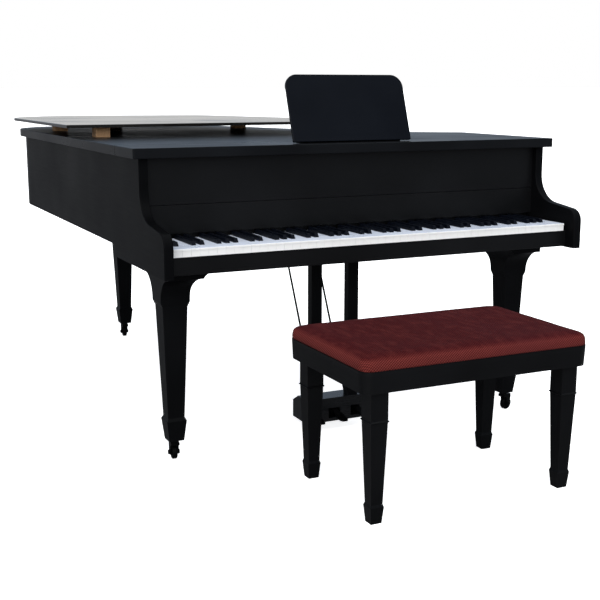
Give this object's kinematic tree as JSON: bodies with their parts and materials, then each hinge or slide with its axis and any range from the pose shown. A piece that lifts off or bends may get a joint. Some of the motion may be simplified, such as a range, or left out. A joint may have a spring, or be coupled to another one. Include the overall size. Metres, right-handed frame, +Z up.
{
  "type": "miniature grand piano",
  "caption": "Dolls' house grand piano in satin black with a lift-off lid panel on wood blocks, folding music desk, sprung pedals, castered legs and a padded bench.",
  "frame": {"origin": "centre of the footprint of the piano and its bench, on the floor they stand on", "axes": "+X towards the treble end, +Y from the keyboard towards the tail, +Z up"},
  "size_m": [0.1128, 0.1938, 0.088],
  "materials": {
    "case_lacquer": "satin black lacquer on wood",
    "top_lacquer": "smooth semi-gloss black lacquer on wood",
    "lid_lacquer": "polished black lacquer on a thin panel",
    "desk_lacquer": "satin blue-black lacquer on a thin plate",
    "bench_lacquer": "satin black lacquer on wood",
    "raw_wood": "bare sawn softwood",
    "white_key": "smooth white, slightly glossy",
    "black_key": "satin black",
    "caster_metal": "black painted metal",
    "caster_wheel": "satin black plastic",
    "pedal_metal": "black painted metal, worn at the toes",
    "wire": "dark painted wire",
    "hinge_metal": "dark painted metal",
    "seat_fabric": "dark red woven cloth with a small diamond pattern"
  },
  "bodies": {
    "case": {"left_side": "case_lacquer", "right_cheek": "case_lacquer", "bent_side": "case_lacquer", "tail_rim": "case_lacquer", "bottom_board": "case_lacquer", "key_bed": "case_lacquer", "key_slip": "case_lacquer", "key_rail": "case_lacquer", "fallboard": "case_lacquer", "front_panel": "case_lacquer", "white_keys": "white_key", "black_keys": "black_key", "top_board_front": "top_lacquer", "top_board_rear": "top_lacquer", "spacer_blocks": "raw_wood", "desk_base": "hinge_metal", "desk_hinge_pin": "hinge_metal", "lyre_post_left": "case_lacquer", "lyre_post_right": "case_lacquer", "pedal_box": "case_lacquer", "pedal_rod": "pedal_metal", "lyre_braces": "wire", "leg_bracket_front_left": "case_lacquer", "leg_front_left": "case_lacquer", "leg_foot_front_left": "case_lacquer", "leg_bracket_front_right": "case_lacquer", "leg_front_right": "case_lacquer", "leg_foot_front_right": "case_lacquer", "leg_bracket_rear": "case_lacquer", "leg_rear": "case_lacquer", "leg_foot_rear": "case_lacquer"},
    "lid": {"lid_panel": "lid_lacquer"},
    "desk": {"desk_plate": "desk_lacquer"},
    "pedal_left": {"pedal_left": "pedal_metal"},
    "pedal_middle": {"pedal_middle": "pedal_metal"},
    "pedal_right": {"pedal_right": "pedal_metal"},
    "bench": {"bench_rail_front": "bench_lacquer", "bench_rail_back": "bench_lacquer", "bench_rail_left": "bench_lacquer", "bench_rail_right": "bench_lacquer", "bench_seat_board": "bench_lacquer", "bench_leg_front_left": "bench_lacquer", "bench_leg_front_right": "bench_lacquer", "bench_leg_back_left": "bench_lacquer", "bench_leg_back_right": "bench_lacquer", "bench_cushion": "seat_fabric"},
    "caster_front_left": {"caster_fork_front_left": "caster_metal", "caster_axle_front_left": "caster_metal"},
    "wheel_front_left": {"caster_wheel_front_left": "caster_wheel"},
    "caster_front_right": {"caster_fork_front_right": "caster_metal", "caster_axle_front_right": "caster_metal"},
    "wheel_front_right": {"caster_wheel_front_right": "caster_wheel"},
    "caster_rear": {"caster_fork_rear": "caster_metal", "caster_axle_rear": "caster_metal"},
    "wheel_rear": {"caster_wheel_rear": "caster_wheel"}
  },
  "joints": [
    {"name": "lid_lift", "type": "slide", "parent": "case", "child": "lid", "axis": [0, 0, 1], "range_m": [0, 0.03]},
    {"name": "desk_fold", "type": "hinge", "parent": "case", "child": "desk", "pos_m": [0.00082, -0.04064, 0.07278], "axis": [-1, 0, 0], "range_deg": [0, 70]},
    {"name": "pedal_left_press", "type": "hinge", "parent": "case", "child": "pedal_left", "pos_m": [-0.00843, -0.03244, 0.0053], "axis": [1, 0, 0], "range_deg": [0, 5], "stiffness_Nm_per_rad": 0.001, "springref_deg": -5.73},
    {"name": "pedal_middle_press", "type": "hinge", "parent": "case", "child": "pedal_middle", "pos_m": [-0.00217, -0.03244, 0.0053], "axis": [1, 0, 0], "range_deg": [0, 5], "stiffness_Nm_per_rad": 0.001, "springref_deg": -5.73},
    {"name": "pedal_right_press", "type": "hinge", "parent": "case", "child": "pedal_right", "pos_m": [0.00407, -0.03244, 0.0053], "axis": [1, 0, 0], "range_deg": [0, 5], "stiffness_Nm_per_rad": 0.001, "springref_deg": -5.73},
    {"name": "caster_front_left_swivel", "type": "hinge", "parent": "case", "child": "caster_front_left", "pos_m": [-0.04568, -0.04209, 0.005], "axis": [0, 0, 1], "continuous": true},
    {"name": "wheel_front_left_spin", "type": "hinge", "parent": "caster_front_left", "child": "wheel_front_left", "pos_m": [-0.04557, -0.04109, 0.00168], "axis": [0.9945, -0.1045, 0], "continuous": true},
    {"name": "caster_front_right_swivel", "type": "hinge", "parent": "case", "child": "caster_front_right", "pos_m": [0.04693, -0.04209, 0.005], "axis": [0, 0, 1], "continuous": true},
    {"name": "wheel_front_right_spin", "type": "hinge", "parent": "caster_front_right", "child": "wheel_front_right", "pos_m": [0.0479, -0.04186, 0.00168], "axis": [0.225, -0.9744, 0], "continuous": true},
    {"name": "caster_rear_swivel", "type": "hinge", "parent": "case", "child": "caster_rear", "pos_m": [-0.02053, 0.08476, 0.005], "axis": [0, 0, 1], "continuous": true},
    {"name": "wheel_rear_spin", "type": "hinge", "parent": "caster_rear", "child": "wheel_rear", "pos_m": [-0.02049, 0.08576, 0.00168], "axis": [0.9994, -0.0349, 0], "continuous": true},
    {"name": "bench_pull", "type": "slide", "parent": "case", "child": "bench", "axis": [0, -1, 0], "range_m": [0, 0.05]}
  ]
}
